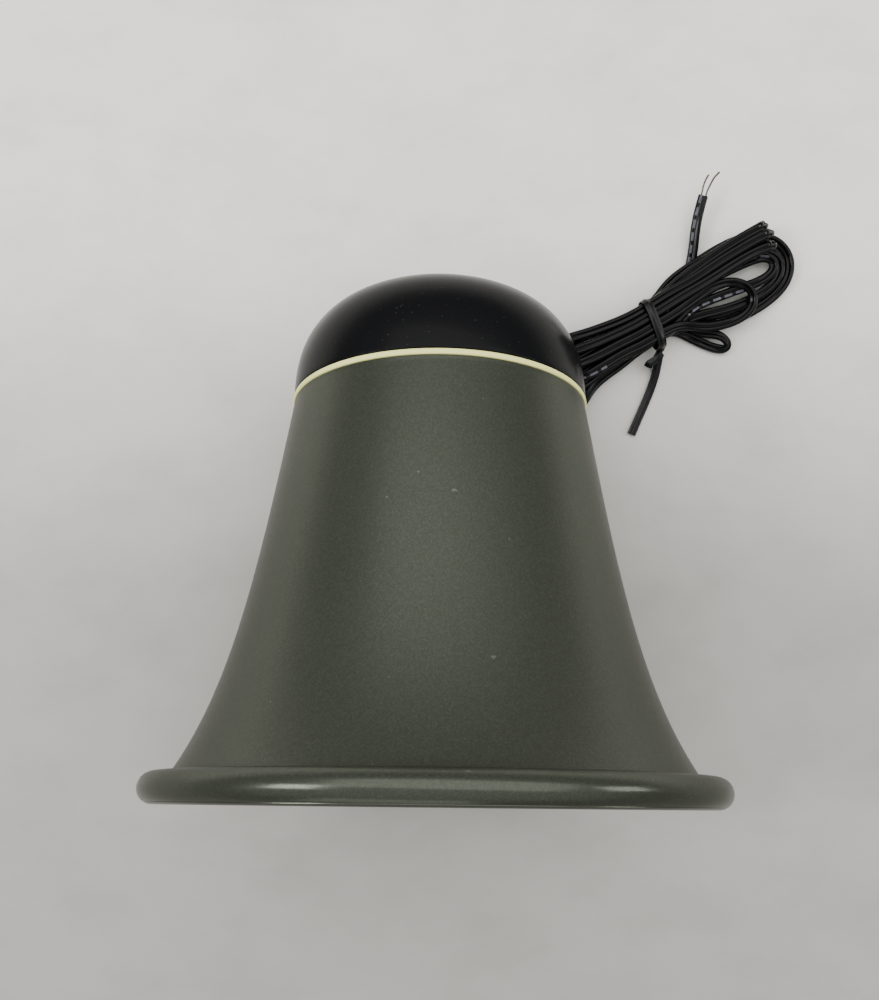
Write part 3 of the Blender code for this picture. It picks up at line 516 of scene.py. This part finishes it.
def flat_frames(line):
    """The wide direction of a flat cord along its line: level on straights, turning on edge in tight bends."""
    tangent = unit(np.gradient(line, axis=0))
    level = unit(np.cross((0, 0, 1.0), tangent))
    step = np.linalg.norm(np.diff(line, axis=0), axis=1).mean()
    bend = blur(np.gradient(tangent, axis=0) / step, 9)
    curve = np.linalg.norm(bend, axis=1)
    over = np.cross(level, tangent)
    over *= np.sign((over[:, 2:3]) + 1e-9)
    amount = np.clip((curve - 1 / 30) / (1 / 9 - 1 / 30), 0, 1) * 0.95
    sideways = np.abs((unit(bend) * level).sum(1))
    roll = blur((amount * sideways)[:, None], 12)[:, 0]
    wander = 0.30 * np.sin(np.arange(len(line)) * step / 23.0) + 0.18 * np.sin(np.arange(len(line)) * step / 9.1 + 1.0)
    turn_by = roll * 1.05 + wander * 0.5
    wide = unit(level * np.cos(turn_by)[:, None] + over * np.sin(turn_by)[:, None])
    wide = unit(blur(wide, 4))
    wide = unit(wide - (wide * tangent).sum(1, keepdims=True) * tangent)
    return tangent, wide, np.cross(tangent, wide)


LOBE_ARC = [math.radians(a) for a in np.linspace(-152, 152, 11)]
SECTION = [(0.8 + LOBE * math.cos(a), LOBE * math.sin(a)) for a in LOBE_ARC] + [(-0.8 - LOBE * math.cos(a), -LOBE * math.sin(a)) for a in LOBE_ARC]


def flat_cord(name, line, materials):
    tangent, wide, thick = flat_frames(line)
    size = len(SECTION)
    points = np.vstack([line[i] + np.array([x * wide[i] + y * thick[i] for x, y in SECTION]) for i in range(len(line))])
    points[:, 2] = np.maximum(points[:, 2], 0.03)
    faces, slots = [], []
    for i in range(len(line) - 1):
        for k in range(size):
            n = (k + 1) % size
            faces.append((i * size + k, i * size + n, (i + 1) * size + n, (i + 1) * size + k))
            column = (7, 8) if any(a < i / len(line) < b for a, b in MARKED_UP) else (2, 3)
            slots.append(1 if i % 6 < 4 and k in column and i > 10 else 0)
    faces.append(tuple(range(size))[::-1])
    faces.append(tuple((len(line) - 1) * size + k for k in range(size)))
    slots += [0, 0]
    mesh = bpy.data.meshes.new(name)
    mesh.from_pydata([tuple(p) for p in points * MM], [], faces)
    mesh.polygons.foreach_set("material_index", slots)
    mesh.shade_smooth()
    mesh.set_sharp_from_angle(angle=math.radians(75))
    return link(name, mesh, *materials)


cord = flat_cord("lead_cord", LINE, (PVC, MARK))
cord.data.update()
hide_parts("cord_lead", "cord_hank", "cord_tail")


def wire(name, points, radius, material, sides=12):
    line = spaced(smooth_line(points), 0.3)
    tangent = unit(np.gradient(line, axis=0))
    side = unit(np.cross(tangent, (0.2, 0.1, 1.0)))
    other = np.cross(tangent, side)
    ring = [(math.cos(2 * math.pi * k / sides), math.sin(2 * math.pi * k / sides)) for k in range(sides)]
    vertices = [tuple((line[i] + radius * (c * side[i] + s * other[i])) * MM) for i in range(len(line)) for c, s in ring]
    faces = [(i * sides + k, i * sides + (k + 1) % sides, (i + 1) * sides + (k + 1) % sides, (i + 1) * sides + k) for i in range(len(line) - 1) for k in range(sides)]
    faces += [tuple(range(sides))[::-1], tuple((len(line) - 1) * sides + k for k in range(sides))]
    mesh = bpy.data.meshes.new(name)
    mesh.from_pydata(vertices, [], faces)
    mesh.shade_smooth()
    mesh.set_sharp_from_angle(angle=math.radians(60))
    return link(name, mesh, material)


END = LINE[-1]
stripped_1 = wire("stripped_wire_1", [tuple(END + (-0.8, -1.2, -0.1)), tuple(END + (-0.75, -0.3, 0)), (84.1, 119.6, 5.9), (84.4, 121.3, 6.2), (85.1, 123.3, 6.5), (85.9, 124.8, 6.8)], 0.3, COPPER)
stripped_2 = wire("stripped_wire_2", [tuple(END + (0.75, -1.2, -0.1)), tuple(END + (0.8, -0.3, 0)), (85.7, 119.6, 5.9), (86.4, 121.3, 6.3), (87.7, 123.8, 6.7), (89.3, 125.6, 7.0)], 0.3, COPPER)
for piece, node in ((stripped_1, "bare_wire_1"), (stripped_2, "bare_wire_2")):
    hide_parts(node)


# ---------------------------------------------------------------- reflector cup, seen through the mouth
crown = smooth_line([(3.6, 89.6), (8.0, 89.0), (14.0, 86.9), (19.4, 83.4), (23.8, 78.6), (26.8, 72.4), (28.8, 64.0), (32.2, 44.0), (36.2, 22.0)], 6)
hollow = smooth_line([(34.7, 22.0), (30.7, 44.0), (27.3, 64.0), (25.3, 71.0), (21.0, 76.6), (15.0, 78.6), (8.0, 77.2), (4.6, 76.3)], 5)
cup = [(1.7, 84.0), (3.6, 84.0), *map(tuple, crown), *map(tuple, hollow), (1.7, 76.3)]
reflector_cup = revolve("reflector_cup", cup, BY_SLOT[SLOT_OF["reflector"]], 144, sharp=45)
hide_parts("reflector")


# ---------------------------------------------------------------- twist tie
def strip(name, points, width, thick, material, lean=None, step=0.5):
    """A flat strip with a raised wire core down its middle. lean gives the wide direction at each point."""
    line = spaced(smooth_line(points), step)
    tangent = unit(np.gradient(line, axis=0))
    if lean is None:
        wide = unit(np.cross(tangent, (0, 0, 1.0)))
    else:
        marks = np.asarray(lean, float)
        fine = smooth_line(points)
        run = np.r_[0, np.cumsum(np.linalg.norm(np.diff(fine, axis=0), axis=1))]
        knots = run[:: 10][: len(marks)]
        where = np.linspace(0, run[-1], len(line))
        wide = np.c_[tuple(np.interp(where, knots, marks[:, k]) for k in range(3))]
    wide = unit(wide - (wide * tangent).sum(1, keepdims=True) * tangent)
    up_dir = np.cross(tangent, wide)
    h, t = width / 2, thick / 2
    section = [(-h, -t * 0.6), (-h, t * 0.6), (-0.55, t * 0.7), (-0.3, t * 1.7), (0.3, t * 1.7), (0.55, t * 0.7), (h, t * 0.6), (h, -t * 0.6), (0.55, -t * 0.7), (0.3, -t * 1.7), (-0.3, -t * 1.7), (-0.55, -t * 0.7)]
    size = len(section)
    vertices = np.vstack([line[i] + np.array([x * wide[i] + y * up_dir[i] for x, y in section]) for i in range(len(line))])
    vertices[:, 2] = np.maximum(vertices[:, 2], 0.02)
    faces = [(i * size + k, i * size + (k + 1) % size, (i + 1) * size + (k + 1) % size, (i + 1) * size + k) for i in range(len(line) - 1) for k in range(size)]
    faces += [tuple(range(size))[::-1], tuple((len(line) - 1) * size + k for k in range(size))]
    mesh = bpy.data.meshes.new(name)
    mesh.from_pydata([tuple(p) for p in vertices * MM], [], faces)
    mesh.shade_smooth()
    mesh.set_sharp_from_angle(angle=math.radians(55))
    return link(name, mesh, material)


def band_points():
    """Round the bundle in the plane across it."""
    half, low, high = 8.2, 0.75, 10.4
    middle, side = np.array((68.6, 76.4)), np.array((-0.364, 0.931))
    pts = []
    for k in range(17):
        a = math.radians(-125 - 360 * k / 16 * 0.985)
        c, s = math.cos(a), math.sin(a)
        p = half * math.copysign(abs(c) ** 0.7, c)
        z = (low + high) / 2 + (high - low) / 2 * math.copysign(abs(s) ** 0.75, s)
        pts.append((*(middle + p * side + 0.3 * math.sin(a) * AXIS), max(z, 0.6)))
    return pts


band = strip("tie_band", band_points(), 2.7, 0.5, TIE, lean=[(0.931, 0.364, 0.0)] * 17)
KNOT = (71.5, 68.4, 4.8)
turns = []
for k in range(25):
    u = k / 24
    a = 2 * math.pi * 2.4 * u
    base = np.array(KNOT) + np.array((-0.5, -3.2, -1.5)) * u
    turns.append(tuple(base + np.array((math.cos(a) * 0.75, 0.1 * math.sin(a), math.sin(a) * 0.75))))
twist = strip("tie_twist", turns, 2.0, 0.55, TIE, lean=[(math.sin(2 * math.pi * 1.6 * k / 24), 0.5, math.cos(2 * math.pi * 1.6 * k / 24)) for k in range(25)], step=0.35)
tail_long = strip("tie_end_long", [(71.2, 66.7, 4.2), (71.0, 64.0, 2.8), (70.3, 59.9, 1.8), (69.1, 55.8, 1.2), (67.4, 51.3, 0.9), (65.3, 46.3, 0.8), (63.1, 41.0, 0.8)], 2.7, 0.45, TIE)
tail_short = strip("tie_end_short", [(71.4, 67.0, 5.0), (70.4, 65.6, 4.6), (69.1, 64.6, 4.4), (68.1, 63.9, 4.3), (67.6, 62.9, 3.6)], 2.6, 0.45, TIE)
tie_parts = [band, twist, tail_long, tail_short]
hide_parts("twist_tie")

for piece in (bell_shell, gasket_ring, cover_shell, reflector_cup, cord, stripped_1, stripped_2, *tie_parts):
    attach(piece, BODY)


# ---------------------------------------------------------------- table, backdrop and light
def table_material():
    """Pale matt laminate with a faint mottle, its colour carrying painted light and shade: painted lighter towards its
    far side and darker towards its near side, and painted darker further out, as shade in the surroundings.
    """
    s = Shader("pale_table").set(Specular_IOR_Level=0.2)
    split = s.node("ShaderNodeSeparateXYZ")
    s.link(s.place, split.inputs["Vector"])
    # painted light and shade: the colour runs from dark at the near side to light at the far side, standing in for how
    # the light falls across the table
    base = s.ramp(s.span(split.outputs["Y"], -0.22, 0.2, 0, 1), (0.0, (0.395, 0.383, 0.363)), (0.5, (0.49, 0.478, 0.454)), (0.78, (0.93, 0.918, 0.868)), (1.0, (0.96, 0.945, 0.893)))
    far = s.node("ShaderNodeVectorMath", operation="LENGTH")
    s.link(s.place, far.inputs[0])
    # painted shade: beyond 0.24 m from the origin the table is painted darker, standing in for shade in the
    # surroundings
    base = s.mix(s.span(far.outputs["Value"], 0.24, 0.75, 0, 1), base, (0.36, 0.353, 0.337))
    mottle = s.ramp(s.noise(1.0, 5.0, 0.62, stretch=(26, 40, 1)), (0.30, 0.90), (0.55, 1.0), (0.75, 1.03))
    s.colour(s.mix(1.0, base, mottle, "MULTIPLY"))
    s.rough(s.span(s.noise(40, 2.0), 0.3, 0.7, 0.62, 0.7))
    return s.material


floor_mesh = bpy.data.meshes.new("table")
floor_mesh.from_pydata([(-3, -3, 0), (3, -3, 0), (3, 3, 0), (-3, 3, 0)], [], [(0, 1, 2, 3)])
table = link("table", floor_mesh, table_material())

world = bpy.data.worlds.new("studio")
bpy.context.scene.world = world
world.use_nodes = True
nodes, links = world.node_tree.nodes, world.node_tree.links
nodes.clear()
coords = nodes.new("ShaderNodeTexCoord")
split = nodes.new("ShaderNodeSeparateXYZ")
ramp = nodes.new("ShaderNodeValToRGB")
background = nodes.new("ShaderNodeBackground")
output = nodes.new("ShaderNodeOutputWorld")
links.new(coords.outputs["Generated"], split.inputs["Vector"])
links.new(split.outputs["Z"], ramp.inputs["Fac"])
links.new(ramp.outputs["Color"], background.inputs["Color"])
links.new(background.outputs["Background"], output.inputs["Surface"])
stops = [(0.0, 0.24), (0.10, 0.20), (0.22, 0.22), (0.35, 0.52), (0.50, 0.76), (0.78, 1.0), (1.0, 1.1)]
while len(ramp.color_ramp.elements) < len(stops):
    ramp.color_ramp.elements.new(0.5)
for element, (where, value) in zip(ramp.color_ramp.elements, stops):
    element.position = where
    element.color = (value, value * 0.995, value * 0.98, 1)
background.inputs["Strength"].default_value = 0.8


def softbox(name, place, aim, size, power, colour=(1.0, 0.99, 0.97)):
    data = bpy.data.lights.new(name, "AREA")
    data.shape = "RECTANGLE"
    data.size, data.size_y = size
    data.energy = power
    data.color = colour
    lamp = bpy.data.objects.new(name, data)
    lamp.location = place
    lamp.rotation_euler = (Vector(aim) - Vector(place)).to_track_quat("-Z", "Y").to_euler()
    bpy.context.scene.collection.objects.link(lamp)
    return lamp


softbox("overhead", (0.10, 0.55, 1.10), (0, 0.03, 0), (2.3, 1.1), 16.0)
softbox("left", (-0.80, 0.07, 0.75), (0, -0.05, 0.05), (0.32, 0.32), 5.0)
softbox("front", (-0.25, -1.35, 0.45), (0, -0.02, 0.07), (0.9, 0.6), 2.4)
softbox("right", (1.00, 0.12, 0.42), (0, -0.05, 0.05), (0.32, 0.32), 2.2)
